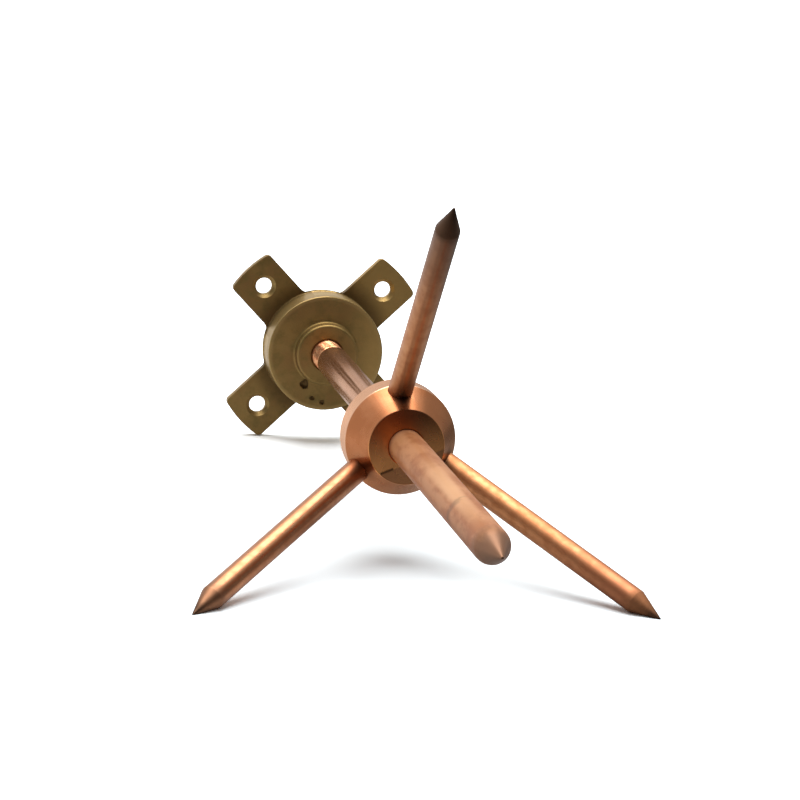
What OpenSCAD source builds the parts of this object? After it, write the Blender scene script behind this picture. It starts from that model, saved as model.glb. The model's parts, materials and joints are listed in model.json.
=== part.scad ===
// Multi-point lightning rod: a four-arm cast base, a pointed air rod and a hub with three slanted spikes.
// Millimetres. The rod stands along +Z, and the origin is the centre of the base's underside.

/* [Base arms] */
// Diameter over the ends of the four arms
base_d = 104; // [98:1:120]
// Width of each arm
arm_w = 24; // [20:1:28]
// Thickness of each arm
arm_t = 4; // [3:0.5:6]
// Radius of the two corners at each arm's end
arm_corner_r = 2.5; // [1:0.5:5]
// Radius of the hollow corner where an arm's side runs into the boss
web_fillet_r = 6; // [4:0.5:7]
// How far inside the boss's wall these hollow corners run out, so that the wall stands proud of them
web_sink = 0.8; // [0:0.1:1.5]

/* [Fixing holes] */
// Diameter of the circle that the four fixing holes lie on
hole_circle_d = 81.4; // [78:0.2:84]
// Diameter of each fixing hole
hole_d = 7.8; // [6:0.1:9]
// Diameter of the countersink at the top of each fixing hole
sink_d = 11.2; // [10:0.1:14]
// Depth of the countersink
sink_depth = 1.6; // [1:0.1:2.5]

/* [Boss] */
// Diameter of the round boss
boss_d = 55; // [50:0.5:58]
// Height of the boss's face above the underside
boss_h = 19.5; // [16:0.5:24]
// Rounding of the boss's rim
boss_edge_r = 0.6; // [0.3:0.1:3]
// Rounding of the hollow corner between the boss's wall and the arms
boss_foot_r = 0.6; // [0.4:0.1:2]
// Diameter of the raised step in the middle of the boss
step_d = 29.4; // [26:0.2:36]
// Height of the step above the boss's face
step_h = 5; // [3:0.5:8]
// Rounding of the step's rim
step_edge_r = 1.3; // [0.5:0.1:2.5]
// Rounding of the hollow corner between the step and the boss's face
step_foot_r = 1.3; // [0.5:0.1:2.5]

/* [Air rod] */
// Diameter of the plain shank
rod_d = 15; // [12:0.5:18]
// Overall length, from the foot in the socket to the point
rod_l = 418; // [350:1:600]
// Length of the turned point
rod_point_l = 18; // [12:0.5:30]
// Radius of the rounding where the shank runs into the point
rod_shoulder_r = 15; // [4:1:20]
// Width of the blunt end of the point
rod_tip_d = 1; // [0.6:0.1:2]
// Outside diameter of the threaded foot
thread_d = 14.4; // [11:0.1:17]
// Length of thread that shows above the socket
thread_show_l = 17; // [4:0.5:30]
// Depth of the threaded socket in the base
socket_l = 18; // [12:0.5:20]
// Bevel at the mouth of the socket and at the foot of the rod
thread_bevel = 0.8; // [0.4:0.1:1.2]

/* [Hub] */
// Height of the hub's rear face above the underside of the base
hub_rear_h = 201.5; // [120:0.5:320]
// Diameter of the hub
hub_d = 48; // [44:0.5:56]
// Length of the hub's straight side
hub_side_l = 13; // [11:0.5:20]
// Length of the hub's conical nose
hub_nose_l = 15; // [10:0.5:20]
// Diameter of the flat face at the front of the nose
hub_face_d = 32.5; // [26:0.5:36]
// Degrees that the hub is turned on the rod, from a spike midway between two arms
hub_turn = -0.8; // [-30:0.1:30]
// Bevel round the hub's rear edge
hub_rear_bevel = 0.8; // [0.4:0.1:2]
// Bevel at the mouths of the hub's bore
hub_bore_bevel = 0.4; // [0.2:0.1:1]

/* [Spikes] */
// Number of degrees between a spike and the rod
spike_tilt = 48.5; // [44:0.5:56]
// Diameter of a spike
spike_d = 10.5; // [8:0.1:11.5]
// How far in front of the hub's shoulder a spike's middle crosses the hub's diameter
spike_rise = 4.8; // [2:0.1:7]
// How far a spike's middle passes to one side of the rod's middle
spike_offset = 2.2; // [0:0.1:4]
// Length of a spike beyond the hub's diameter, along its middle
spike_free_l = 118; // [60:1:200]
// Depth of a spike's foot inside the hub's diameter, along its middle
spike_seat_l = 13; // [9:0.5:15]
// Length of a spike's turned point
spike_point_l = 13.5; // [8:0.5:20]
// Width of the blunt end of a spike's point
spike_tip_d = 0.8; // [0.4:0.1:1.5]

/* [Grub screw] */
// Diameter of the grub screw
grub_d = 6; // [4:0.5:8]
// How far the grub screw's end lies below the hub's side
grub_sink = 1; // [0.5:0.1:3]
// Distance across the flats of its key socket
grub_key_w = 3; // [2:0.5:4]
// Depth of its key socket
grub_key_l = 4; // [2:0.5:6]

/* [Fits] */
// Gap all round between the rod's thread and its socket
thread_gap = 0.1; // [0.02:0.01:0.2]
// Gap all round between the rod's shank and the hub's bore
hub_gap = 0.15; // [0.05:0.01:0.3]
// Gap all round between a spike or the grub screw and its hole
screw_gap = 0.05; // [0.02:0.01:0.15]

/* [Hidden] */
$fn = 96;
// Overlap that lets a cut run clean through a face
through = 1;
arm_angles = [45, 135, 225, 315];
spike_count = 3;
spike_angles = [for (index = [0 : spike_count - 1]) 90 + hub_turn + index * 360 / spike_count];
grub_angle = 270 + hub_turn;

base_r = base_d / 2;
boss_r = boss_d / 2;
step_r = step_d / 2;
step_top_h = boss_h + step_h;
socket_floor_h = step_top_h - socket_l;
thread_end_h = step_top_h + thread_show_l;
rod_top_h = socket_floor_h + rod_l;
socket_d = thread_d + 2 * thread_gap;

hub_r = hub_d / 2;
hub_shoulder_h = hub_rear_h + hub_side_l;
hub_face_h = hub_shoulder_h + hub_nose_l;
hub_bore_d = rod_d + 2 * hub_gap;
grub_h = hub_rear_h + hub_side_l / 2;
grub_l = hub_r - grub_sink - rod_d / 2;

// Middle of an arm's corner rounding, touching the arm's side and the end arc from inside
corner_y = arm_w / 2 - arm_corner_r;
corner_x = sqrt(pow(base_r - arm_corner_r, 2) - pow(corner_y, 2));
// Middle of a web fillet, touching the arm's side and a circle just inside the boss's wall
web_r = boss_r - web_sink;
fillet_y = arm_w / 2 + web_fillet_r;
fillet_x = sqrt(pow(web_r + web_fillet_r, 2) - pow(fillet_y, 2));

// One arm seen from above, along +X, with its end cut on the base's outer circle
module arm_outline() {
    translate([0, -arm_w / 2]) square([corner_x, arm_w]);
    for (side = [-1, 1]) translate([corner_x, side * corner_y]) circle(arm_corner_r);
    intersection() {
        circle(base_r);
        polygon([[0, 0], [2 * corner_x, -2 * corner_y], [2 * corner_x, 2 * corner_y]]);
    }
}

// The hollow corner between the arm's side at +Y and the boss
module web_fillet_outline() {
    touch = web_r / (web_r + web_fillet_r);
    difference() {
        polygon([[0, 0], [fillet_x, 0], [fillet_x, fillet_y], [fillet_x * touch, fillet_y * touch]]);
        translate([fillet_x, fillet_y]) circle(web_fillet_r);
    }
}

// All four arms with their web fillets and the foot of the boss
module arms_outline() {
    circle(boss_r);
    for (angle = arm_angles) rotate(angle) {
        arm_outline();
        web_fillet_outline();
        mirror([0, 1]) web_fillet_outline();
    }
}

// Half section of a round block that rises from inside the arms, with its top rim rounded
module round_top_section(radius, top_h, edge_r) {
    foot_h = arm_t / 2;
    translate([0, foot_h]) square([radius - edge_r, top_h - foot_h]);
    translate([0, foot_h]) square([radius, top_h - foot_h - edge_r]);
    translate([radius - edge_r, top_h - edge_r]) circle(edge_r);
}

// Half section of the hollow rounding between a round wall and the flat that it stands on
module hollow_foot_section(wall_r, flat_h, foot_r) {
    difference() {
        translate([wall_r - through, flat_h]) square([foot_r + through, foot_r]);
        translate([wall_r + foot_r, flat_h + foot_r]) circle(foot_r);
    }
}

// The hollow rounding where the boss's wall meets the arms, only where there is an arm
module boss_foot() {
    intersection() {
        rotate_extrude() hollow_foot_section(boss_r, arm_t, boss_foot_r);
        linear_extrude(arm_t + boss_foot_r) arms_outline();
    }
}

// A countersunk fixing hole, with its middle at the origin and its mouth at the arm's top
module fixing_hole() {
    translate([0, 0, -through]) cylinder(d = hole_d, h = arm_t + 2 * through);
    translate([0, 0, arm_t - sink_depth]) cylinder(d1 = hole_d, d2 = sink_d, h = sink_depth);
    translate([0, 0, arm_t]) cylinder(d = sink_d, h = through);
}

// The blind socket for the rod's thread, with a bevelled mouth
module rod_socket() {
    mouth_d = socket_d + 2 * thread_bevel;
    translate([0, 0, socket_floor_h]) cylinder(d = socket_d, h = socket_l + through);
    translate([0, 0, step_top_h - thread_bevel]) cylinder(d1 = socket_d, d2 = mouth_d, h = thread_bevel);
    translate([0, 0, step_top_h]) cylinder(d = mouth_d, h = through);
}

module saddle_base() {
    color("#6a5430") difference() {
        union() {
            linear_extrude(arm_t) arms_outline();
            boss_foot();
            rotate_extrude() round_top_section(boss_r, boss_h, boss_edge_r);
            rotate_extrude() hollow_foot_section(step_r, boss_h, step_foot_r);
            rotate_extrude() round_top_section(step_r, step_top_h, step_edge_r);
        }
        for (angle = arm_angles) rotate(angle) translate([hole_circle_d / 2, 0, 0]) fixing_hole();
        rod_socket();
    }
}

// Half section of the rod: bevelled threaded foot, plain shank, rounded shoulder and point
module rod_section() {
    rod_r = rod_d / 2;
    tip_r = rod_tip_d / 2;
    thread_r = thread_d / 2;
    thread_step = abs(rod_r - thread_r);
    shoulder_h = rod_top_h - rod_point_l;
    slope = atan((rod_r - tip_r) / rod_point_l);
    reach = rod_shoulder_r * tan(slope / 2);
    round_start = [rod_r, shoulder_h - reach];
    round_end = [rod_r - reach * sin(slope), shoulder_h + reach * cos(slope)];
    polygon([
        [0, socket_floor_h],
        [thread_r - thread_bevel, socket_floor_h],
        [thread_r, socket_floor_h + thread_bevel],
        [thread_r, thread_end_h],
        [rod_r, thread_end_h + thread_step],
        round_start,
        round_end,
        [tip_r, rod_top_h],
        [0, rod_top_h]
    ]);
    intersection() {
        translate(round_start - [rod_shoulder_r, 0]) circle(rod_shoulder_r);
        polygon([[0, round_start[1]], round_start, [rod_r, shoulder_h], round_end, [0, round_end[1]]]);
    }
}

module air_rod() {
    color("#b07a5a") rotate_extrude() rod_section();
}

// Moves to a spike's seat: +Z runs out along the spike, and z = 0 is where it crosses the hub's diameter
module at_spike(index) {
    rotate(spike_angles[index])
        translate([hub_r, spike_offset, hub_shoulder_h + spike_rise])
            rotate([0, spike_tilt, 0]) children();
}

// Moves to the grub screw: +Z runs out along the screw, and z = 0 is the rod's side
module at_grub() {
    rotate(grub_angle) translate([rod_d / 2, 0, grub_h]) rotate([0, 90, 0]) children();
}

// Half section of the hub: bevelled rear edge, straight side, conical nose, bevelled bore
module hub_section() {
    bore_r = hub_bore_d / 2;
    polygon([
        [bore_r + hub_bore_bevel, hub_rear_h],
        [hub_r - hub_rear_bevel, hub_rear_h],
        [hub_r, hub_rear_h + hub_rear_bevel],
        [hub_r, hub_shoulder_h],
        [hub_face_d / 2, hub_face_h],
        [bore_r + hub_bore_bevel, hub_face_h],
        [bore_r, hub_face_h - hub_bore_bevel],
        [bore_r, hub_rear_h + hub_bore_bevel]
    ]);
}

module point_hub() {
    spike_hole_d = spike_d + 2 * screw_gap;
    grub_hole_d = grub_d + 2 * screw_gap;
    color("#b9734b") difference() {
        rotate_extrude() hub_section();
        for (index = [0 : spike_count - 1]) at_spike(index)
            translate([0, 0, -spike_seat_l]) cylinder(d = spike_hole_d, h = spike_seat_l + hub_d);
        at_grub() translate([0, 0, -hub_gap]) cylinder(d = grub_hole_d, h = hub_r);
    }
}

module spike(index) {
    shank_l = spike_seat_l + spike_free_l - spike_point_l;
    color("#b9734b") at_spike(index) translate([0, 0, -spike_seat_l]) {
        cylinder(d = spike_d, h = shank_l);
        translate([0, 0, shank_l]) cylinder(d1 = spike_d, d2 = spike_tip_d, h = spike_point_l);
    }
}

module hub_grub_screw() {
    key_d = grub_key_w / cos(30);
    color("#8a8d90") at_grub() difference() {
        cylinder(d = grub_d, h = grub_l);
        translate([0, 0, grub_l - grub_key_l]) cylinder(d = key_d, h = grub_key_l + through, $fn = 6);
    }
}

saddle_base();
air_rod();
point_hub();
spike(0);  // spike_a
spike(1);  // spike_b
spike(2);  // spike_c
hub_grub_screw();
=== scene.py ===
"""Finishes, stage, light and camera for a multi-point lightning rod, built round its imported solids.

Metres, in the solids' own frame: +Z runs up the rod, and the origin is the middle of the base's underside.
The rod is shown lying on a white table, on the tips of two spikes and one corner of its base.
"""

import json
import math
from collections import namedtuple

import bmesh
import bpy
import numpy as np
from mathutils import Matrix, Vector, noise


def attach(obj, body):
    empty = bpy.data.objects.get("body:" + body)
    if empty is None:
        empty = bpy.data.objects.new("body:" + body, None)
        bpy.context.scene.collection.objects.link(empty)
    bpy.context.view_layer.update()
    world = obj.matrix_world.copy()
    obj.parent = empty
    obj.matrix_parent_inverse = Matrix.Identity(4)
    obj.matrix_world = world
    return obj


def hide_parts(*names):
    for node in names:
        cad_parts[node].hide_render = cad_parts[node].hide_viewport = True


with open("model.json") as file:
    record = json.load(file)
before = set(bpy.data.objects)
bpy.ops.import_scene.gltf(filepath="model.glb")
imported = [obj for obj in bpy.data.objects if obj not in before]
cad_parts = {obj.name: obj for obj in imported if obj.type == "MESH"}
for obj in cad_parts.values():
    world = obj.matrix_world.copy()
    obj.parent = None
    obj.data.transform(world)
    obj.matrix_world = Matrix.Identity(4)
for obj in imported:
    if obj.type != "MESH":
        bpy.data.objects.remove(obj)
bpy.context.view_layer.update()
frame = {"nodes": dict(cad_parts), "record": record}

MM = 0.001
BODY = "root"
TURNED_PLACE = "turned_place"
ROD_AXIS = Vector((0, 0, 1))
WHITE = (1, 1, 1, 1)


def srgb(red, green, blue):
    """A colour as it looks on screen, 0 to 255, as the linear colour that a shader takes."""
    def linear(value):
        share = value / 255
        return share / 12.92 if share <= 0.04045 else ((share + 0.055) / 1.055) ** 2.4
    return (linear(red), linear(green), linear(blue), 1.0)


# Camera, solved from edges measured in the photograph
CAMERA_PLACE = Vector((-0.3092, 0.3272, 1.7703))
CAMERA_AIM = Vector((0.0080, 0.0080, 0.1680))
CAMERA_UP = Vector((-0.0258, 0.9794, -0.2002))
CAMERA_LENS = 171.0
CAMERA_SENSOR = 36.0
CAMERA_REACH = 100

# Table: the spikes that stand on it, how far it reaches and how far it lies below what touches it
LOWER_SPIKES = ("spike_b", "spike_c")
TABLE_HALF_WIDTH = 3.0
TABLE_FRONT = 0.35
TABLE_BACK = 3.5
TABLE_DROP = 0.05 * MM
# Paper as it lights the object: its shade along Z, then how that changes along X
PAPER_DEPTH = (0.25, 0.50)
PAPER_BACK = 0.8
PAPER_FRONT = 0.12
PAPER_SIDES = (-0.25, 0.30)
PAPER_LEFT = 1.4
PAPER_RIGHT = 0.35
# Paper as the camera sees it, brighter than white so that only the deeper shadows show
PAPER_SEEN_DEPTH = (0.02, 0.18)
PAPER_SEEN_BACK = (2.1, 2.2, 2.25, 1.0)
PAPER_SEEN_FRONT = (1.56, 1.70, 1.76, 1.0)

# Key light
KEY_STRENGTH = 2.4
KEY_ANGLE = math.radians(58)
KEY_LEAN_BACK = math.radians(6)
# Studio: its levels, and between which directions along Z, X and Y they change
AMBIENT_LEVEL = 0.24
BACK_TO_FRONT = (-0.4, 0.5)
BACK_LEVEL = 1.04
FRONT_LEVEL = 0.096
LEFT_TO_RIGHT = (-0.6, 0.8)
RIGHT_LEVEL = 0.5
SIDE_TO_OVERHEAD = (0.65, 0.98)
OVERHEAD_LEVEL = 1.76

# Turned and drawn pieces: how their CAD outlines are read, how finely they are made, and the rod's thread
SAME_POINT = 0.001 * MM
SAME_RING = 0.05 * MM
END_ZONE = 1.5 * MM
FULL_WIDTH_SHARE = 0.98
RING_STEP = 1.5 * MM
ROUND_SEGMENTS = 96
EDGE_EASE = 0.35 * MM
EASE_STEPS = 4
THREAD_PITCH = 2.0 * MM
THREAD_DEPTH = 1.1 * MM
THREAD_FLAT_SHARE = 0.12
THREAD_STEPS = 12
THREAD_RUN_OUT = 1.5 * THREAD_PITCH
# Unevenness of the bars: its size, its waves per metre along the bar, where the rod's noise starts, and the
# radius below which a spike stays sharp
ROD_UNEVEN = 0.012 * MM
ROD_WAVES = 25
ROD_SEED = 3
SPIKE_UNEVEN = 0.015 * MM
SPIKE_WAVES = 90
SPIKE_SHARP_R = 1 * MM

# Angles over which an edge is shaded sharp and over which it is broken, and under which faces are one flat
SHADED_SHARP_ANGLE = math.radians(35)
BROKEN_ANGLE = math.radians(25)
FLAT_ANGLE = math.radians(0.5)
# Broken edges
CAST_EASE = 0.3 * MM
BREAK_SEGMENTS = 2
BREAK_ROUNDNESS = 0.5

# Casting pits in the boss's face: place across the face and width
CAST_PITS = (
    (-9.3 * MM, -15.2 * MM, 4.6 * MM),
    (-5.3 * MM, -21.8 * MM, 2.6 * MM),
    (-0.4 * MM, -23.6 * MM, 2.8 * MM),
)
# Depth of a pit as a share of its width, how finely it is made and how lumpy it is
PIT_DEPTH = 0.35
PIT_DETAIL = 3
PIT_LUMP = 0.35
PIT_WAVES = 3
PIT_SEED_STEP = 7
# Clearance from the boss's wall past which only the arms lie
ARM_CLEAR = 2 * MM
# Radius of a countersink as a share of its hole's
SINK_TO_HOLE = 1.44

# Noise: waves per metre, detail and, where it isn't the usual one, roughness
CAST_PATCHES = (55, 3)
CAST_FLECKS = (190, 4, 0.6)
CAST_GRAIN = (1500, 4, 0.6)
CAST_PORES = (620, 3)
ROD_CLOUDS = (110, 4, 0.6)
ROD_BREAKS = (130, 2)
THREAD_TEARS = (650, 4, 0.65)
HUB_RINGS = (1800, 2)
HUB_CLOUDS = (90, 3)
SPIKE_CLOUDS = (220, 3)
SCREW_GRAIN = (900, 3)
# Noise drawn out along a bar: its stretch across the bar, both ways, and along it
DRAWN_LINES = (1.0, 3, 0.6)
ROD_LINE_STRETCH = (900, 900, 6)
ROD_CLOUD_STRETCH = (1, 1, 0.4)
SPIKE_LINE_STRETCH = (1200, 1200, 14)
# Spans of noise over which one look gives way to another
NOISE_SPAN = (0.3, 0.7)
CLOUD_SPAN = (0.35, 0.65)
FLECK_SPAN = (0.42, 0.70)
PORE_SPAN = (0.60, 0.74)
STAIN_SPAN = (0.38, 0.62)
BREAK_SPAN = (0.42, 0.58)
TEAR_SPAN = (0.4, 0.6)
# Shine of the dull skin on a metal
SKIN_SHINE = 0.2

# Finish of the casting
CAST_LIGHT = srgb(156, 128, 77)
CAST_DARK = srgb(148, 117, 71)
CAST_FLECK = srgb(136, 114, 67)
# Painted light: the casting is paler towards +X
CAST_PAINTED_LIGHT = srgb(188, 154, 94)
# Painted shade round the boss's foot and in the pits
CAST_PAINTED_SHADE = srgb(84, 64, 38)
# Machine-finished, with a painted highlight: the boss's rim, its wall between the arms and the countersinks
CAST_MACHINED_AND_HIGHLIGHT = srgb(188, 160, 106)
CAST_BARE = 0.75
CAST_ROUGHNESS = (0.40, 0.54)
CAST_MACHINED_SMOOTHER = 0.1
CAST_BUMP = (0.25, 0.08 * MM)
# Zones of that finish and of its painted shade and highlights: where each starts, where it ends and, where
# it isn't whole, its strength
# Painted light grows over this span along X
CAST_PAINTED_LIGHT_ZONE = (6 * MM, 26 * MM, 0.8)  # along X
GROUND_ZONE = (0.2 * MM, 0.6 * MM)  # up from the underside
WALL_ZONE = (0.2 * MM, 0.5 * MM)  # off the boss's wall
PAD_ZONE = (5.8 * MM, 6.1 * MM)  # to either side of the middle between two arms
PAD_TOP_ZONE = (5 * MM, 6 * MM)  # down from the boss's face
PAD_TOP_STRENGTH = 0.25
SINK_SOFT = 0.1 * MM
SINK_STRENGTH = 0.3
RIM_ZONE = (0.8 * MM, 2.4 * MM, 0.5)  # in from the boss's wall
RIM_FOOT_ZONE = (0.0, 0.5 * MM)  # up from the arms
APRON_START = (0.0, 0.5 * MM)  # out from the boss's wall
APRON_ZONE = (0.5 * MM, 11 * MM, 0.7)  # out from the boss's wall
WALL_FOOT_ZONE = (2 * MM, 5 * MM, 0.8)  # up from the arms
PIT_TOP_ZONE = (0.2 * MM, 0.9 * MM, 0.8)  # down from the boss's face
PIT_END_ZONE = (3 * MM, 4 * MM)  # down from the boss's face
PIT_INSIDE_ZONE = (2 * MM, 2.5 * MM)  # in from the boss's wall

# Finish of the rod
ROD_BRIGHT_LIGHT = srgb(214, 166, 134)
ROD_BRIGHT_DARK = srgb(202, 152, 120)
ROD_STAINED_LIGHT = srgb(218, 152, 104)
ROD_STAINED_DARK = srgb(190, 118, 72)
# Painted shade, warmer than the rest, on the rod's side away from the light
ROD_PAINTED_SHADE = srgb(186, 112, 64)
# Painted highlight along the lit side of the rod's front
ROD_PAINTED_HIGHLIGHT = srgb(255, 198, 148)
ROD_SCORED = srgb(128, 88, 66)
ROD_POINT = srgb(138, 106, 85)
ROD_TINT = srgb(250, 237, 228)
# Roughness and bareness, each from the bright rod to the handled one, and how much of that the point loses
ROD_ROUGHNESS = (0.2, 0.42)
ROD_BARE = (0.93, 0.12)
ROD_POINT_SMOOTHER = 0.4
ROD_POINT_BARER = 0.6
ROD_LINE_ROUGHNESS = (-0.02, 0.02)
ROD_BUMP = (0.05, 0.01 * MM)
# Lit side of the rod's front, and zones of painted shade and painted highlight by how far a place faces it
ROD_LIT_SIDE = Vector((-0.42, 0.91, 0))
ROD_PAINTED_SHADE_ZONE = (0.0, 0.6, 0.5)
ROD_PAINTED_HIGHLIGHT_ZONE = (0.84, 1.0)
# Middle and reach of the painted highlight, as shares of the length from the hub to the rod's shoulder
ROD_PAINTED_HIGHLIGHT_MIDDLE = 0.62
ROD_PAINTED_HIGHLIGHT_REACH = 0.45
ROD_PAINTED_HIGHLIGHT_STRENGTH = 0.9
# Zones along the rod, from the hub's face, a scored ring and the shoulder, and how far their edges wander
ROD_HANDLED_ZONE = (-20 * MM, 10 * MM)
ROD_MARK = 358 * MM
ROD_MARK_ZONE = (0.0, 4.5 * MM, 0.5)
ROD_POINT_ZONE = (1 * MM, 13 * MM, 0.85)
ROD_WANDER = 12 * MM

# Finish of the rod's thread
THREAD_LIGHT = srgb(238, 180, 132)
THREAD_DARK = srgb(196, 122, 84)
THREAD_ROUGHNESS = (0.28, 0.45)
THREAD_BUMP = (0.5, 0.25 * MM)

# Finish of the hub
HUB_LIGHT = srgb(178, 117, 80)
HUB_DARK = srgb(168, 106, 69)
HUB_SHADED = srgb(112, 72, 48)
# Painted highlight round the hub's outer edge
HUB_EDGE_HIGHLIGHT = srgb(220, 174, 144)
# Painted shade on the hub in front of each spike's root
HUB_PAINTED_SHADE = srgb(66, 46, 36)
HUB_TINT = srgb(255, 232, 214)
HUB_ROUGHNESS = (0.23, 0.30)
HUB_PAINTED_SHADE_ROUGHER = 0.25
HUB_BUMP = (0.04, 0.03 * MM)
HUB_SHADED_SIDE = Vector((1, -0.6, 0))
HUB_SHADED_ZONE = (4 * MM, 18 * MM, 0.6)
HUB_EDGE_HIGHLIGHT_ZONE = (0.1 * MM, 0.3 * MM)
# Painted shade on the hub before each spike's root: how far in front of a spike's middle it lies, the share
# of each that is darkest, then half the width, the length and the strength of each
SHADE_AHEAD = 4.5 * MM
SHADE_CORE = 0.25
SPIKE_ROOT_SHADES = {
    "spike_a": (4 * MM, 8 * MM, 1.0),
    "spike_b": (9 * MM, 10 * MM, 0.5),
    "spike_c": (9 * MM, 10 * MM, 1.0),
}
# Hub's front face, painted light low down and painted shade above: their border leans by a slope and wanders
FACE_PAINTED_LIGHT = srgb(255, 178, 110)
FACE_PAINTED_SHADE = srgb(136, 86, 58)
FACE_ZONE = (0.2 * MM, 0.6 * MM)
FACE_PAINTED_LIGHT_ZONE = (-4 * MM, 18 * MM)
FACE_SLOPE = 0.25
FACE_WANDER = 6 * MM
# Dark mark on that face: start, turn from the X axis and length, with a paler painted reflection below it
FACE_MARK_START = Vector((-10.3, -11.8, 0)) * MM
FACE_MARK_TURN = math.radians(24)
FACE_MARK_LENGTH = 5.4 * MM
FACE_MARK_TONE = srgb(72, 40, 24)
FACE_MARK_ZONE = (0.2 * MM, 0.8 * MM, 0.85)
FACE_MARK_END = 0.5 * MM
# Painted reflection: the face is paler below the mark
FACE_PAINTED_REFLECTION = srgb(176, 122, 88)
FACE_PAINTED_REFLECTION_ZONE = (-0.6 * MM, 0.0, 0.7)

# Finish of the spikes: share of the bar where it starts to go dull and darker, roughness and tones of each
SPIKE_LOOKS = {
    # On spike_a the darker outer part of the bar is painted shade
    "spike_a": {
        "dull_and_shade_share": 0.42,
        "satin": 0.38,
        "light_tone": srgb(190, 135, 94),
        "dark_tone": srgb(180, 123, 84),
        "dull_and_shade_tone": srgb(116, 84, 64),
        "point_tone": srgb(96, 71, 54),
    },
    "spike_b": {
        "dull_and_shade_share": 0.90,
        "satin": 0.31,
        "light_tone": srgb(188, 132, 96),
        "dark_tone": srgb(178, 120, 84),
        "dull_and_shade_tone": srgb(150, 106, 78),
        "point_tone": srgb(140, 100, 74),
    },
    # Painted light: spike_c's copper tones are lighter than the other spikes'
    "spike_c": {
        "dull_and_shade_share": 0.40,
        "satin": 0.51,
        "light_tone": srgb(212, 150, 104),
        "dark_tone": srgb(194, 132, 88),
        "dull_and_shade_tone": srgb(178, 116, 82),
        "point_tone": srgb(160, 110, 76),
    },
}
SPIKE_TIP = srgb(66, 50, 40)
SPIKE_SATIN_VARIES = 0.04
SPIKE_POINT_ROUGHER = 0.16
SPIKE_BUMP = (0.08, 0.02 * MM)
# Zones along a spike, from its shoulder, and how far their edges wander
SPIKE_DULL_AND_SHADE_END = 8 * MM
SPIKE_POINT_ZONE = (-3 * MM, 5 * MM)
SPIKE_TIP_ZONE = (6 * MM, 17 * MM)
SPIKE_WANDER = 6 * MM

# Finish of the grub screw
SCREW_DARK = srgb(120, 120, 124)
SCREW_LIGHT = srgb(160, 160, 162)
SCREW_ROUGHNESS = (0.28, 0.42)
SCREW_BUMP = (0.1, 0.03 * MM)


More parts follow.
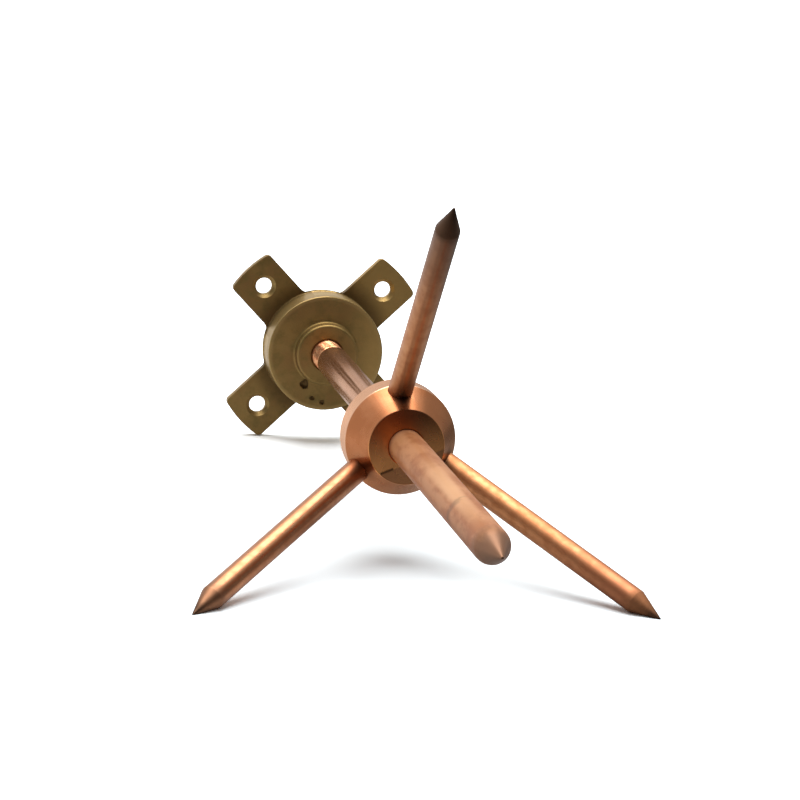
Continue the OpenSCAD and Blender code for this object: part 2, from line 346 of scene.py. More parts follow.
class Nodes:
    """Adds nodes to one material or world and links them."""

    def __init__(self, tree):
        self.tree = tree
        tree.nodes.clear()

    def add(self, kind, inputs=None, **settings):
        node = self.tree.nodes.new(kind)
        for key, value in settings.items():
            setattr(node, key, value)
        for key, value in (inputs or {}).items():
            self.feed(node.inputs[key], value)
        return node

    def feed(self, socket, value):
        if isinstance(value, bpy.types.NodeSocket):
            self.tree.links.new(value, socket)
        else:
            socket.default_value = value

    def coords(self):
        return self.add("ShaderNodeTexCoord").outputs["Object"]

    def turned_coords(self, stretch=(1, 1, 1)):
        """Place on a turned piece, with Z along its axis."""
        place = self.add("ShaderNodeAttribute", attribute_name=TURNED_PLACE).outputs["Vector"]
        return self.add("ShaderNodeMapping", {"Vector": place, "Scale": stretch}).outputs["Vector"]

    def split(self, vector):
        """The X, Y and Z of a vector, by name."""
        return self.add("ShaderNodeSeparateXYZ", {"Vector": vector}).outputs

    def noise(self, vector, scale, detail=2.0, roughness=0.5):
        inputs = {"Vector": vector, "Scale": scale, "Detail": detail, "Roughness": roughness}
        return self.add("ShaderNodeTexNoise", inputs).outputs["Fac"]

    def spread(self, value, low, high, to_low=0.0, to_high=1.0):
        """Takes value from the span low to high onto the span to_low to to_high, with soft ends."""
        inputs = {"Value": value, "From Min": low, "From Max": high, "To Min": to_low, "To Max": to_high}
        return self.add("ShaderNodeMapRange", inputs, interpolation_type="SMOOTHSTEP").outputs["Result"]

    def rise(self, value, low, high, strength=1.0):
        """Grows from nothing to the strength as value goes from low to high."""
        return self.spread(value, low, high, 0.0, strength)

    def fade(self, value, low, high, strength=1.0):
        """Falls from the strength to nothing as value goes from low to high."""
        return self.spread(value, low, high, strength, 0.0)

    def maths(self, operation, *values):
        node = self.add("ShaderNodeMath", operation=operation)
        for socket, value in zip(node.inputs, values):
            self.feed(socket, value)
        return node.outputs["Value"]

    def plus(self, first, second):
        return self.maths("ADD", first, second)

    def less(self, first, second):
        return self.maths("SUBTRACT", first, second)

    def apart(self, first, second):
        """How far two values lie from each other."""
        return self.maths("ABSOLUTE", self.less(first, second))

    def times(self, first, *others):
        """The product of all the values."""
        for other in others:
            first = self.maths("MULTIPLY", first, other)
        return first

    def most(self, first, *others):
        """The largest of all the values."""
        for other in others:
            first = self.maths("MAXIMUM", first, other)
        return first

    def mix(self, factor, first, second):
        """Colour that goes from first to second as factor goes from 0 to 1."""
        node = self.add("ShaderNodeMix", data_type="RGBA")
        for index, value in ((0, factor), (6, first), (7, second)):
            self.feed(node.inputs[index], value)
        return node.outputs[2]

    def radius(self, split):
        """Distance from the middle, across X and Y."""
        across = self.add("ShaderNodeCombineXYZ", {"X": split["X"], "Y": split["Y"]}).outputs["Vector"]
        return self.add("ShaderNodeVectorMath", {0: across}, operation="LENGTH").outputs["Value"]

    def along(self, place, start, direction):
        """How far the place lies from start along the direction, times the direction's length."""
        arm = self.add("ShaderNodeVectorMath", {0: place, 1: start}, operation="SUBTRACT").outputs["Vector"]
        pair = {0: arm, 1: direction}
        return self.add("ShaderNodeVectorMath", pair, operation="DOT_PRODUCT").outputs["Value"]

    def bump(self, height, strength, distance):
        inputs = {"Height": height, "Strength": strength, "Distance": distance}
        return self.add("ShaderNodeBump", inputs).outputs["Normal"]

    def metal(self, colour, roughness, normal, tint=WHITE, bare=1.0):
        """A metal surface as the material's output, bare or partly under a dull skin.

        Tint colours its reflections at a grazing angle.
        """
        inputs = {
            "Base Color": colour,
            "Metallic": bare,
            "Roughness": roughness,
            "Specular IOR Level": SKIN_SHINE,
            "Specular Tint": tint,
            "Normal": normal,
        }
        surface = self.add("ShaderNodeBsdfPrincipled", inputs).outputs["BSDF"]
        self.add("ShaderNodeOutputMaterial", {"Surface": surface})


def new_material(name):
    material = bpy.data.materials.new(name)
    material.use_nodes = True
    return material, Nodes(material.node_tree)


# Materials


def gunmetal_zones(nodes, split, base):
    """Where the casting is machine-finished with painted highlights, and where it has painted shade.

    It is machine-finished with painted highlights in the countersinks, on the boss's rim and on the boss's
    wall between the arms. Painted shade lies round the boss's foot and in the pits. The underside has
    neither.
    """
    radius = nodes.radius(split)
    inward = nodes.less(base.wall_r, radius)
    outward = nodes.less(radius, base.wall_r)
    above_arms = nodes.less(split["Z"], base.arm_top)
    below_face = nodes.less(base.face_height, split["Z"])
    above_ground = nodes.rise(split["Z"], *GROUND_ZONE)
    fold = {axis: nodes.maths("ABSOLUTE", split[axis]) for axis in "XY"}

    on_wall = nodes.fade(nodes.maths("ABSOLUTE", outward), *WALL_ZONE)
    between = nodes.fade(nodes.maths("MINIMUM", fold["X"], fold["Y"]), *PAD_ZONE)
    pad = nodes.times(on_wall, between, nodes.spread(below_face, *PAD_TOP_ZONE, PAD_TOP_STRENGTH, 1.0))
    off_hole = nodes.radius({axis: nodes.less(fold[axis], base.hole_off) for axis in "XY"})
    sink = nodes.fade(off_hole, base.sink_r - SINK_SOFT, base.sink_r + SINK_SOFT, SINK_STRENGTH)
    rim = nodes.times(nodes.fade(inward, *RIM_ZONE), nodes.fade(outward, *WALL_ZONE))
    rim = nodes.times(rim, nodes.rise(above_arms, *RIM_FOOT_ZONE))
    # Machine-finished places, paler with a painted highlight
    machined_and_highlight = nodes.most(pad, nodes.times(sink, above_ground), rim)

    # Painted shade on the arms round the boss's foot, on the wall's foot and in the pits
    apron = nodes.times(nodes.fade(outward, *APRON_ZONE), nodes.rise(outward, *APRON_START))
    wall_foot = nodes.times(on_wall, nodes.fade(above_arms, *WALL_FOOT_ZONE), nodes.less(1.0, between))
    pit = nodes.times(nodes.rise(below_face, *PIT_TOP_ZONE), nodes.fade(below_face, *PIT_END_ZONE))
    pit = nodes.times(pit, nodes.rise(inward, *PIT_INSIDE_ZONE))
    painted_shade = nodes.times(nodes.most(apron, wall_foot, pit), above_ground)
    return machined_and_highlight, painted_shade


def cast_gunmetal(base):
    """Dull olive brown casting with a grainy skin, darker where shade is painted.

    It has painted light towards +X, and is smoother and has painted highlights where it is machine-finished.
    """
    material, nodes = new_material("cast_gunmetal")
    place = nodes.coords()
    split = nodes.split(place)
    machined_and_highlight, painted_shade = gunmetal_zones(nodes, split, base)
    patches = nodes.spread(nodes.noise(place, *CAST_PATCHES), *CLOUD_SPAN)
    flecks = nodes.spread(nodes.noise(place, *CAST_FLECKS), *FLECK_SPAN)
    pores = nodes.spread(nodes.noise(place, *CAST_PORES), *PORE_SPAN)
    grain = nodes.noise(place, *CAST_GRAIN)
    colour = nodes.mix(patches, CAST_LIGHT, CAST_DARK)
    colour = nodes.mix(flecks, colour, CAST_FLECK)
    # Painted light towards +X
    colour = nodes.mix(nodes.rise(split["X"], *CAST_PAINTED_LIGHT_ZONE), colour, CAST_PAINTED_LIGHT)
    colour = nodes.mix(painted_shade, colour, CAST_PAINTED_SHADE)
    colour = nodes.mix(machined_and_highlight, colour, CAST_MACHINED_AND_HIGHLIGHT)
    roughness = nodes.spread(grain, *NOISE_SPAN, *CAST_ROUGHNESS)
    roughness = nodes.less(roughness, nodes.times(machined_and_highlight, CAST_MACHINED_SMOOTHER))
    nodes.metal(colour, roughness, nodes.bump(nodes.less(grain, pores), *CAST_BUMP), bare=CAST_BARE)
    return material


def rod_front_colour(nodes, height, clouds, rod_r, front, shoulder):
    """Past the hub: stain clouds, warmer painted shade on the far side, painted highlight on the near one.
    """
    colour = nodes.mix(nodes.spread(clouds, *STAIN_SPAN), ROD_STAINED_LIGHT, ROD_STAINED_DARK)
    facing = nodes.along(nodes.coords(), Vector(), ROD_LIT_SIDE / rod_r)
    # Painted shade on the side facing away from the light
    colour = nodes.mix(nodes.fade(facing, *ROD_PAINTED_SHADE_ZONE), colour, ROD_PAINTED_SHADE)
    # Painted highlight along the lit side, strongest partway to the shoulder
    off_middle = nodes.apart(height, front + ROD_PAINTED_HIGHLIGHT_MIDDLE * (shoulder - front))
    painted_highlight = nodes.fade(off_middle, 0.0, ROD_PAINTED_HIGHLIGHT_REACH * (shoulder - front), ROD_PAINTED_HIGHLIGHT_STRENGTH)
    painted_highlight = nodes.times(painted_highlight, nodes.rise(facing, *ROD_PAINTED_HIGHLIGHT_ZONE))
    return nodes.mix(painted_highlight, colour, ROD_PAINTED_HIGHLIGHT)


def drawn_copper(rod_r, front, mark, shoulder):
    """Drawn rod: bright behind the height called front, handled and duller past it.

    A ring was scored round it at the mark, and the turned point above the shoulder is darker.
    """
    material, nodes = new_material("drawn_copper")
    place = nodes.turned_coords()
    height = nodes.split(place)["Z"]
    lines = nodes.noise(nodes.turned_coords(ROD_LINE_STRETCH), *DRAWN_LINES)
    clouds = nodes.noise(nodes.turned_coords(ROD_CLOUD_STRETCH), *ROD_CLOUDS)
    handled = nodes.rise(nodes.less(height, front), *ROD_HANDLED_ZONE)
    wander = nodes.plus(height, nodes.times(clouds, ROD_WANDER))
    point = nodes.rise(nodes.less(wander, shoulder), *ROD_POINT_ZONE)
    off_mark = nodes.apart(wander, mark + ROD_WANDER / 2)
    broken = nodes.spread(nodes.noise(place, *ROD_BREAKS), *BREAK_SPAN)
    scored = nodes.times(nodes.fade(off_mark, *ROD_MARK_ZONE), broken)
    colour = nodes.mix(nodes.spread(clouds, *CLOUD_SPAN), ROD_BRIGHT_LIGHT, ROD_BRIGHT_DARK)
    colour = nodes.mix(handled, colour, rod_front_colour(nodes, height, clouds, rod_r, front, shoulder))
    colour = nodes.mix(scored, colour, ROD_SCORED)
    colour = nodes.mix(point, colour, ROD_POINT)
    roughened = nodes.less(handled, nodes.times(point, ROD_POINT_SMOOTHER))
    roughness = nodes.spread(roughened, 0, 1, *ROD_ROUGHNESS)
    roughness = nodes.plus(roughness, nodes.spread(lines, *NOISE_SPAN, *ROD_LINE_ROUGHNESS))
    dulled = nodes.less(handled, nodes.times(point, ROD_POINT_BARER))
    bare = nodes.spread(dulled, 0, 1, *ROD_BARE)
    nodes.metal(colour, roughness, nodes.bump(lines, *ROD_BUMP), ROD_TINT, bare)
    return material


def thread_copper():
    """Freshly cut thread, bright and torn."""
    material, nodes = new_material("thread_copper")
    torn = nodes.noise(nodes.coords(), *THREAD_TEARS)
    colour = nodes.mix(nodes.spread(torn, *TEAR_SPAN), THREAD_LIGHT, THREAD_DARK)
    roughness = nodes.spread(torn, *NOISE_SPAN, *THREAD_ROUGHNESS)
    nodes.metal(colour, roughness, nodes.bump(torn, *THREAD_BUMP))
    return material


def hub_painted_shade(nodes, place, spikes):
    """Where shade is painted on the hub, in front of each spike's root. Spikes gives each one's foot and
    axis.
    """
    root_shade = 0.0
    for node, (foot, axis) in spikes.items():
        ahead = (ROD_AXIS - axis * axis.dot(ROD_AXIS)).normalized()
        half_width, length, strength = SPIKE_ROOT_SHADES[node]
        aside = nodes.along(place, foot, axis.cross(ahead) / half_width)
        forward = nodes.along(place, foot + ahead * SHADE_AHEAD, ahead / length)
        away = nodes.radius({"X": aside, "Y": forward})
        root_shade = nodes.most(root_shade, nodes.fade(away, SHADE_CORE, 1.0, strength))
    return root_shade


def hub_face_colour(nodes, place, split, clouds):
    """Hub's front face: painted shade above, painted light low down, a painted reflection and a dark mark.
    """
    # Painted light low down and painted shade above on the flat face
    level = nodes.less(split["Y"], nodes.times(split["X"], FACE_SLOPE))
    level = nodes.plus(level, nodes.times(clouds, FACE_WANDER))
    colour = nodes.mix(nodes.spread(level, *FACE_PAINTED_LIGHT_ZONE), FACE_PAINTED_LIGHT, FACE_PAINTED_SHADE)
    placing = {"Vector": place, "Location": FACE_MARK_START, "Rotation": (0, 0, FACE_MARK_TURN)}
    mark = nodes.split(nodes.add("ShaderNodeMapping", placing, vector_type="TEXTURE").outputs["Vector"])
    # Painted reflection below the mark's line
    colour = nodes.mix(nodes.fade(mark["Y"], *FACE_PAINTED_REFLECTION_ZONE), colour, FACE_PAINTED_REFLECTION)
    half_length = FACE_MARK_LENGTH / 2
    off_middle = nodes.apart(mark["X"], half_length)
    dark_mark = nodes.fade(nodes.maths("ABSOLUTE", mark["Y"]), *FACE_MARK_ZONE)
    dark_mark = nodes.times(dark_mark, nodes.fade(off_middle, half_length, half_length + FACE_MARK_END))
    return nodes.mix(dark_mark, colour, FACE_MARK_TONE)


def turned_copper(front, hub_r, spikes):
    """Satin turned hub, fine tool rings, painted highlight at its edge, painted shade on a side and by
    spikes.
    """
    material, nodes = new_material("turned_copper")
    place = nodes.coords()
    split = nodes.split(place)
    radius = nodes.radius(split)
    rings_place = nodes.add("ShaderNodeCombineXYZ", {"X": radius, "Z": split["Z"]}).outputs["Vector"]
    rings = nodes.noise(rings_place, *HUB_RINGS)
    clouds = nodes.noise(place, *HUB_CLOUDS)
    shaded = nodes.rise(nodes.along(place, Vector(), HUB_SHADED_SIDE), *HUB_SHADED_ZONE)
    # Painted highlight along the hub's outer edge
    edge = nodes.fade(nodes.less(hub_r, radius), *HUB_EDGE_HIGHLIGHT_ZONE)
    # Painted shade in front of each spike's root
    root_shade = hub_painted_shade(nodes, place, spikes)
    on_face = nodes.fade(nodes.less(front, split["Z"]), *FACE_ZONE)
    colour = nodes.mix(nodes.spread(clouds, *CLOUD_SPAN), HUB_LIGHT, HUB_DARK)
    colour = nodes.mix(shaded, colour, HUB_SHADED)
    colour = nodes.mix(edge, colour, HUB_EDGE_HIGHLIGHT)
    colour = nodes.mix(root_shade, colour, HUB_PAINTED_SHADE)
    colour = nodes.mix(on_face, colour, hub_face_colour(nodes, place, split, clouds))
    roughness = nodes.spread(clouds, *NOISE_SPAN, *HUB_ROUGHNESS)
    roughness = nodes.plus(roughness, nodes.times(root_shade, HUB_PAINTED_SHADE_ROUGHER))
    nodes.metal(colour, roughness, nodes.bump(rings, *HUB_BUMP), HUB_TINT)
    return material


def spike_copper(name, shoulder, dull_and_shade_share, satin, light_tone, dark_tone, dull_and_shade_tone, point_tone):
    """Drawn copper that goes dull and darker past a share of the bar, with a rougher point, darkest at its
    tip.
    """
    material, nodes = new_material(name)
    place = nodes.turned_coords()
    lines = nodes.noise(nodes.turned_coords(SPIKE_LINE_STRETCH), *DRAWN_LINES)
    clouds = nodes.noise(place, *SPIKE_CLOUDS)
    wander = nodes.plus(nodes.split(place)["Z"], nodes.times(clouds, SPIKE_WANDER))
    past_shoulder = nodes.less(wander, shoulder)
    # Duller and darker past a share of the bar; on spike_a this darkening is painted shade
    dull = nodes.rise(wander, dull_and_shade_share * shoulder, shoulder + SPIKE_DULL_AND_SHADE_END)
    point = nodes.rise(past_shoulder, *SPIKE_POINT_ZONE)
    tip = nodes.rise(past_shoulder, *SPIKE_TIP_ZONE)
    colour = nodes.mix(nodes.spread(clouds, *CLOUD_SPAN), light_tone, dark_tone)
    colour = nodes.mix(dull, colour, dull_and_shade_tone)
    colour = nodes.mix(point, colour, point_tone)
    colour = nodes.mix(tip, colour, SPIKE_TIP)
    roughness = nodes.spread(clouds, *NOISE_SPAN, satin - SPIKE_SATIN_VARIES, satin + SPIKE_SATIN_VARIES)
    roughness = nodes.plus(roughness, nodes.times(point, SPIKE_POINT_ROUGHER))
    nodes.metal(colour, roughness, nodes.bump(lines, *SPIKE_BUMP))
    return material


def screw_steel():
    """Plain dark steel of the grub screw."""
    material, nodes = new_material("screw_steel")
    grain = nodes.noise(nodes.coords(), *SCREW_GRAIN)
    colour = nodes.mix(grain, SCREW_DARK, SCREW_LIGHT)
    roughness = nodes.spread(grain, *NOISE_SPAN, *SCREW_ROUGHNESS)
    nodes.metal(colour, roughness, nodes.bump(grain, *SCREW_BUMP))
    return material


def table_paper():
    """White paper: it keeps the object's shadow, and from below it can be seen through."""
    material, nodes = new_material("paper")
    split = nodes.split(nodes.coords())
    shade = nodes.spread(split["Z"], *PAPER_DEPTH, PAPER_BACK, PAPER_FRONT)
    shade = nodes.times(shade, nodes.spread(split["X"], *PAPER_SIDES, PAPER_LEFT, PAPER_RIGHT))
    grey = nodes.add("ShaderNodeCombineXYZ", {"X": shade, "Y": shade, "Z": shade}).outputs["Vector"]
    shown = nodes.mix(nodes.spread(split["Z"], *PAPER_SEEN_DEPTH), PAPER_SEEN_BACK, PAPER_SEEN_FRONT)
    seen = nodes.add("ShaderNodeLightPath").outputs["Is Camera Ray"]
    paper = nodes.add("ShaderNodeBsdfDiffuse", {"Color": nodes.mix(seen, grey, shown)}).outputs["BSDF"]
    clear = nodes.add("ShaderNodeBsdfTransparent", {"Color": WHITE}).outputs["BSDF"]
    behind = nodes.add("ShaderNodeNewGeometry").outputs["Backfacing"]
    surface = nodes.add("ShaderNodeMixShader", {0: behind, 1: paper, 2: clear}).outputs["Shader"]
    nodes.add("ShaderNodeOutputMaterial", {"Surface": surface})
    return material


# Shapes


def turned_profile(node):
    """The foot, the axis and the outline of a CAD node turned about a straight axis.

    The outline is a list of (radius, height), with heights measured from the foot.
    """
    points = mesh_array(frame["nodes"][node].data.vertices, "co").astype(float)
    rough_axis = np.linalg.svd(points - points.mean(0), full_matrices=False)[2][0]
    along = points @ rough_axis
    ends = [points[np.abs(along - limit) < END_ZONE] for limit in (along.min(), along.max())]
    ends.sort(key=lambda group: -np.ptp(group, axis=0).max())
    foot, tip = [(group.min(0) + group.max(0)) / 2 for group in ends]
    axis = (tip - foot) / np.linalg.norm(tip - foot)
    heights = (points - foot) @ axis
    radii = np.linalg.norm(points - foot - np.outer(heights, axis), axis=1)
    foot = foot + axis * heights.min()
    heights = heights - heights.min()
    rings = {}
    for height, radius in zip(heights, radii):
        key = round(height / SAME_RING)
        rings[key] = max(rings.get(key, (0.0, 0.0)), (radius, height))
    return Vector(foot), Vector(axis), [rings[key] for key in sorted(rings)]


def mesh_array(items, attribute):
    """The named vector of each item of a mesh, as rows of three."""
    values = np.zeros(len(items) * 3, np.float32)
    items.foreach_get(attribute, values)
    return values.reshape(-1, 3)


def eased(outline, reach):
    """The outline with every inner corner replaced by a short curve that starts reach before it."""
    points = [Vector(p) for p in outline]
    made = [points[0]]
    for before, corner, after in zip(points, points[1:], points[2:]):
        into, out = corner - before, after - corner
        cut = min(reach, into.length / 2, out.length / 2)
        start = corner - into.normalized() * cut
        end = corner + out.normalized() * cut
        for step in range(EASE_STEPS + 1):
            share = step / EASE_STEPS
            made.append(start.lerp(corner, share).lerp(corner.lerp(end, share), share))
    made.append(points[-1])
    return made


def stepped(outline, longest):
    """The outline with long straights divided, so that no step is longer than the given length.

    A point that lies on the one before it is left out.
    """
    made = [outline[0]]
    for before, after in zip(outline, outline[1:]):
        gap = (after - before).length
        count = math.ceil(gap / longest) if gap > SAME_POINT else 0
        made += [before.lerp(after, (i + 1) / count) for i in range(count)]
    return made


def lathe(name, foot, axis, outline, offset):
    """A closed round piece along axis from foot. offset(angle, radius, height) is added to each radius.

    Each point keeps its place before it is turned to the axis, for the finish to follow.
    """
    angles = np.linspace(0, 2 * math.pi, ROUND_SEGMENTS, endpoint=False)
    verts = []
    for radius, height in outline:
        for angle in angles:
            r = radius + offset(angle, radius, height)
            verts.append((r * math.cos(angle), r * math.sin(angle), height))
    faces = []
    last = (len(outline) - 1) * ROUND_SEGMENTS
    for low in range(0, last, ROUND_SEGMENTS):
        high = low + ROUND_SEGMENTS
        for i in range(ROUND_SEGMENTS):
            j = (i + 1) % ROUND_SEGMENTS
            faces.append((low + i, low + j, high + j, high + i))
    foot_pole, tip_pole = len(verts), len(verts) + 1
    verts += [(0, 0, outline[0][1]), (0, 0, outline[-1][1])]
    for i in range(ROUND_SEGMENTS):
        j = (i + 1) % ROUND_SEGMENTS
        faces.append((foot_pole, j, i))
        faces.append((tip_pole, last + i, last + j))
    mesh = bpy.data.meshes.new(name)
    mesh.from_pydata(verts, [], faces)
    kept = mesh.attributes.new(TURNED_PLACE, "FLOAT_VECTOR", "POINT")
    kept.data.foreach_set("vector", np.array(verts, np.float32).ravel())
    mesh.transform(Matrix.Translation(foot) @ axis.to_track_quat("Z", "Y").to_matrix().to_4x4())
    return add_piece(name, mesh)


def add_piece(name, mesh):
    """Puts a mesh into the scene, smooth apart from its sharper edges."""
    mesh.shade_smooth()
    mesh.set_sharp_from_angle(angle=SHADED_SHARP_ANGLE)
    piece = bpy.data.objects.new(name, mesh)
    bpy.context.scene.collection.objects.link(piece)
    return piece


def dress(piece, node, slot, *materials):
    """Makes the piece stand for a CAD node and ride on the part, with its finish."""
    for material in materials:
        piece.data.materials.append(material)
    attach(piece, BODY)
    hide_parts(node)


def uneven(angle, height, waves, amount, seed):
    """A small smooth unevenness of a drawn bar, longer along the bar than round it."""
    place = Vector((math.cos(angle), math.sin(angle), height * waves)) + Vector((seed, seed, seed))
    return amount * noise.noise(place)


def hub_sizes():
    """Height of the hub's front face, and the hub's radius."""
    points = mesh_array(frame["nodes"]["point_hub"].data.vertices, "co")
    return points[:, 2].max(), np.linalg.norm(points[:, :2], axis=1).max()


def shoulder_height(outline):
    """Height at which a turned piece starts to narrow to its point."""
    full_r = max(radius for radius, height in outline)
    return max(height for radius, height in outline if radius > FULL_WIDTH_SHARE * full_r)


def rod_offset(thread_start, thread_end, shoulder):
    """What lathe adds to the rod's radius.

    A thread is cut between two heights, and the rest is slightly uneven up to the shoulder.
    """
    def offset(angle, radius, height):
        if height >= shoulder:
            return 0.0
        if height >= thread_end or height <= thread_start:
            return -uneven(angle, height, ROD_WAVES, ROD_UNEVEN, ROD_SEED)
        turn = height / THREAD_PITCH - angle / (2 * math.pi)
        wave = abs(2 * (turn % 1.0) - 1.0)
        groove = (wave - THREAD_FLAT_SHARE) / (1 - 2 * THREAD_FLAT_SHARE)
        fade = min(1.0, (thread_end - height) / THREAD_RUN_OUT, (height - thread_start) / THREAD_PITCH)
        return -THREAD_DEPTH * min(1.0, max(0.0, groove)) * fade
    return offset


def make_rod():
    """The air rod with a cut thread on its foot."""
    foot, axis, outline = turned_profile("air_rod")
    # The outline starts with the foot's end and the two ends of the thread
    thread_r, thread_start = outline[1]
    thread_end = outline[2][1]
    below = [Vector(p) for p in outline[:2]]
    ring_count = math.ceil((thread_end - thread_start) / THREAD_PITCH * THREAD_STEPS)
    rise = (thread_end - thread_start) / ring_count
    threaded = [Vector((thread_r, thread_start + rise * (i + 1))) for i in range(ring_count)]
    above = stepped(eased(outline[2:], EDGE_EASE), RING_STEP)
    shoulder = shoulder_height(outline)
    offset = rod_offset(thread_start, thread_end, shoulder)
    rod = lathe("rod", foot, axis, below + threaded + above[1:], offset)
    rod_r = max(radius for radius, height in outline)
    drawn = drawn_copper(rod_r, hub_sizes()[0] - foot.z, ROD_MARK - foot.z, shoulder)
    dress(rod, "air_rod", "drawn_copper", drawn, thread_copper())
    for face in rod.data.polygons:
        face.material_index = 1 if face.center.z < foot.z + thread_end else 0


def spike_offset(seed):
    """What lathe adds to a spike's radius: slightly uneven, never thicker, and sharp at the tip."""
    def offset(angle, radius, height):
        if radius <= SPIKE_SHARP_R:
            return 0.0
        return uneven(angle, height, SPIKE_WAVES, SPIKE_UNEVEN, seed) - SPIKE_UNEVEN
    return offset


def make_spikes():
    """The three spikes, each a drawn bar with a turned point."""
    for seed, (node, looks) in enumerate(SPIKE_LOOKS.items()):
        foot, axis, outline = turned_profile(node)
        material = spike_copper(node + "_copper", shoulder_height(outline), **looks)
        rings = stepped(eased(outline, EDGE_EASE), RING_STEP)
        spike = lathe(node + "_bar", foot, axis, rings, spike_offset(seed))
        dress(spike, node, "turned_copper", material)


def edge_broken(node, name, width):
    """A copy of a CAD node's mesh with its sharp edges broken."""
    shape = bmesh.new()
    shape.from_mesh(frame["nodes"][node].data)
    bmesh.ops.remove_doubles(shape, verts=shape.verts, dist=SAME_POINT)
    bmesh.ops.dissolve_limit(shape, angle_limit=FLAT_ANGLE, verts=shape.verts, edges=shape.edges)
    sharp = [e for e in shape.edges if e.is_manifold and e.calc_face_angle() > BROKEN_ANGLE]
    bmesh.ops.bevel(
        shape,
        geom=sharp,
        offset=width,
        segments=BREAK_SEGMENTS,
        profile=BREAK_ROUNDNESS,
        affect="EDGES",
        clamp_overlap=True,
    )
    bmesh.ops.dissolve_degenerate(shape, dist=SAME_POINT, edges=shape.edges)
    mesh = bpy.data.meshes.new(name)
    shape.to_mesh(mesh)
    shape.free()
    return mesh


def follow_large_faces(mesh):
    """Shading that follows the larger faces at each point, so that flats stay flat beside a broken edge."""
    count = len(mesh.polygons)
    areas = np.zeros(count, np.float32)
    mesh.polygons.foreach_get("area", areas)
    corner_counts = np.zeros(count, np.int32)
    mesh.polygons.foreach_get("loop_total", corner_counts)
    corners = np.zeros(len(mesh.loops), np.int32)
    mesh.loops.foreach_get("vertex_index", corners)
    weighted = mesh_array(mesh.polygons, "normal") * areas[:, None]
    sums = np.zeros((len(mesh.vertices), 3))
    np.add.at(sums, corners, np.repeat(weighted, corner_counts, axis=0))
    never_zero = np.finfo(np.float32).tiny
    sums /= np.maximum(np.linalg.norm(sums, axis=1, keepdims=True), never_zero)
    mesh.normals_split_custom_set_from_vertices(sums.tolist())


def make_hub():
    """The turned hub."""
    mesh = edge_broken("point_hub", "hub", EDGE_EASE)
    hub = add_piece("hub", mesh)
    follow_large_faces(mesh)
    spikes = {node: turned_profile(node)[:2] for node in SPIKE_ROOT_SHADES}
    dress(hub, "point_hub", "turned_copper", turned_copper(*hub_sizes(), spikes))


def pit_cutter(face_height):
    """Flattened lumps sunk into a flat face at the given height, to be cut away from it."""
    shape = bmesh.new()
    for index, (x, y, width) in enumerate(CAST_PITS):
        ball = bmesh.ops.create_icosphere(shape, subdivisions=PIT_DETAIL, radius=width / 2)
        seed = Vector((index * PIT_SEED_STEP, 0, 0))
        for vert in ball["verts"]:
            lump = 1 + PIT_LUMP * noise.noise(vert.co * (PIT_WAVES / width) + seed)
            vert.co = Vector((vert.co.x, vert.co.y, vert.co.z * 2 * PIT_DEPTH)) * lump
            vert.co += Vector((x, y, face_height))
    mesh = bpy.data.meshes.new("pits")
    shape.to_mesh(mesh)
    shape.free()
    return mesh


def carved(mesh, cutter_mesh):
    """The mesh with the cutter taken away from it."""
    piece = bpy.data.objects.new("carved", mesh)
    cutter = bpy.data.objects.new("cutter", cutter_mesh)
    for item in (piece, cutter):
        bpy.context.scene.collection.objects.link(item)
    cut = piece.modifiers.new("cut", "BOOLEAN")
    cut.object = cutter
    cut.operation = "DIFFERENCE"
    cut.solver = "EXACT"
    view = bpy.context.evaluated_depsgraph_get()
    result = bpy.data.meshes.new_from_object(piece.evaluated_get(view))
    for item in (piece, cutter):
        bpy.data.objects.remove(item)
    return result


# Radius of the boss's wall, heights of the arms and of the boss's face, how far a hole's middle lies off
# along X and along Y, and the radius of a countersink
BaseSizes = namedtuple("BaseSizes", "wall_r arm_top face_height hole_off sink_r")


def base_sizes(mesh):
    """The sizes that the casting's finish follows, from its mesh and its bolt pattern."""
    points = mesh_array(mesh.vertices, "co")
    reach = np.linalg.norm(points[:, :2], axis=1)
    pit_reach = max(math.hypot(x, y) for x, y, width in CAST_PITS)
    face_height = points[reach > pit_reach, 2].max()
    wall_r = reach[points[:, 2] > face_height / 2].max()
    arm_top = points[reach > wall_r + ARM_CLEAR, 2].max()
    bolts = next(m["dims"] for m in frame["record"]["mounts"] if m["kind"] == "bolt_pattern")
    hole_off = bolts["pcd_mm"] / 2 * MM * math.sqrt(0.5)
    sink_r = SINK_TO_HOLE * bolts["hole_r_mm"] * MM
    return BaseSizes(wall_r, arm_top, face_height, hole_off, sink_r)


def make_base():
    """The base casting, with a few pits in the boss's face."""
    mesh = edge_broken("saddle_base", "base", CAST_EASE)
    sizes = base_sizes(mesh)
    mesh = carved(mesh, pit_cutter(sizes.face_height))
    base = add_piece("base", mesh)
    follow_large_faces(mesh)
    dress(base, "saddle_base", "gunmetal", cast_gunmetal(sizes))


def dress_screw():
    """The grub screw keeps its CAD shape and gets its finish."""
    node = frame["nodes"]["hub_grub_screw"]
    node.data.materials.clear()
    node.data.materials.append(screw_steel())


# Stage


def table_frame():
    """Where the table lies: a point on it, its across, back and up directions.

    It touches the tips of the two lower spikes and the base's lowest corner.
    """
    tips = []
    for node in LOWER_SPIKES:
        foot, axis, outline = turned_profile(node)
        tips.append(foot + axis * outline[-1][1])
    left, right = tips
    across = (right - left).normalized()
    corners = mesh_array(frame["nodes"]["saddle_base"].data.vertices, "co") - np.array(left)
    away = (across * across.dot(ROD_AXIS) - ROD_AXIS).normalized()
    up = away.cross(across)
    up = up if up.y > 0 else -up
    slopes = (corners @ np.array(up)) / (corners @ np.array(away))
    lean = math.atan(slopes.min())
    back = away * math.cos(lean) + up * math.sin(lean)
    normal = up * math.cos(lean) - away * math.sin(lean)
    return (left + right) / 2, across, back, normal


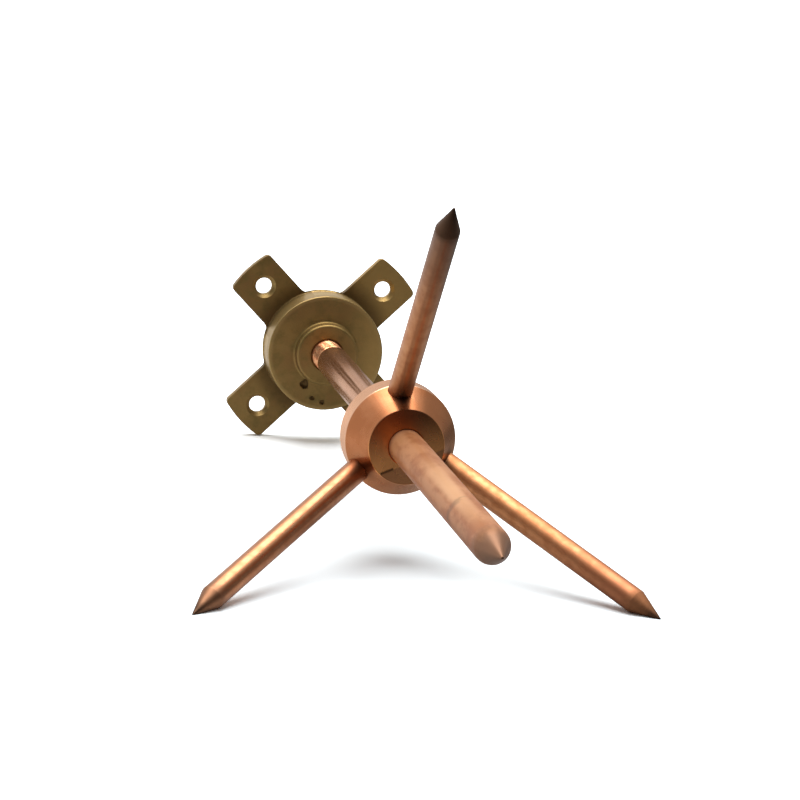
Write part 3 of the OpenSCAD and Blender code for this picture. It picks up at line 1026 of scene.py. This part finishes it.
def make_table():
    """A sheet of paper under the object. Gives back the table's up and back directions."""
    middle, across, back, normal = table_frame()
    middle = middle - normal * TABLE_DROP
    corners = []
    for side, depth in ((-1, -TABLE_FRONT), (1, -TABLE_FRONT), (1, TABLE_BACK), (-1, TABLE_BACK)):
        corners.append(middle + across * side * TABLE_HALF_WIDTH + back * depth)
    mesh = bpy.data.meshes.new("table")
    mesh.from_pydata(corners, [], [(0, 1, 2, 3)])
    if mesh.polygons[0].normal.dot(normal) < 0:
        mesh.flip_normals()
    mesh.materials.append(table_paper())
    table = bpy.data.objects.new("table", mesh)
    bpy.context.scene.collection.objects.link(table)
    return normal, back


def make_world():
    """White where the camera looks, and a studio that darkens towards the camera's side in reflections."""
    world = bpy.data.worlds.new("studio")
    bpy.context.scene.world = world
    world.use_nodes = True
    nodes = Nodes(world.node_tree)
    split = nodes.split(nodes.add("ShaderNodeTexCoord").outputs["Generated"])
    studio = nodes.spread(split["Z"], *BACK_TO_FRONT, BACK_LEVEL, FRONT_LEVEL)
    studio = nodes.times(studio, nodes.spread(split["X"], *LEFT_TO_RIGHT, 1.0, RIGHT_LEVEL))
    studio = nodes.plus(studio, nodes.rise(split["Y"], *SIDE_TO_OVERHEAD, OVERHEAD_LEVEL))
    path = nodes.add("ShaderNodeLightPath").outputs
    mirrored = nodes.most(path["Is Glossy Ray"], path["Is Transmission Ray"])
    level = nodes.spread(mirrored, 0, 1, AMBIENT_LEVEL, studio)
    level = nodes.spread(path["Is Camera Ray"], 0, 1, level, 1.0)
    light = {"Color": WHITE, "Strength": level}
    background = nodes.add("ShaderNodeBackground", light).outputs["Background"]
    nodes.add("ShaderNodeOutputWorld", {"Surface": background})


def make_key_light(up, back):
    """A broad soft light overhead, a little behind the object."""
    sun = bpy.data.lights.new("key", "SUN")
    sun.energy = KEY_STRENGTH
    sun.angle = KEY_ANGLE
    lamp = bpy.data.objects.new("key", sun)
    source = up * math.cos(KEY_LEAN_BACK) + back * math.sin(KEY_LEAN_BACK)
    lamp.rotation_mode = "QUATERNION"
    lamp.rotation_quaternion = source.to_track_quat("Z", "Y")
    lamp.location = source
    bpy.context.scene.collection.objects.link(lamp)


def make_camera():
    """The camera at its solved place, turned to its aim."""
    data = bpy.data.cameras.new("camera")
    data.lens = CAMERA_LENS
    data.sensor_width = CAMERA_SENSOR
    data.clip_end = CAMERA_REACH
    camera = bpy.data.objects.new("camera", data)
    away = (CAMERA_PLACE - CAMERA_AIM).normalized()
    right = CAMERA_UP.cross(away).normalized()
    turn = Matrix((right, away.cross(right), away)).transposed()
    camera.matrix_world = Matrix.Translation(CAMERA_PLACE) @ turn.to_4x4()
    bpy.context.scene.collection.objects.link(camera)
    bpy.context.scene.camera = camera


make_base()
make_rod()
make_hub()
make_spikes()
dress_screw()
table_up, table_back = make_table()
make_world()
make_key_light(table_up, table_back)
make_camera()
bpy.context.scene.view_settings.view_transform = "Standard"
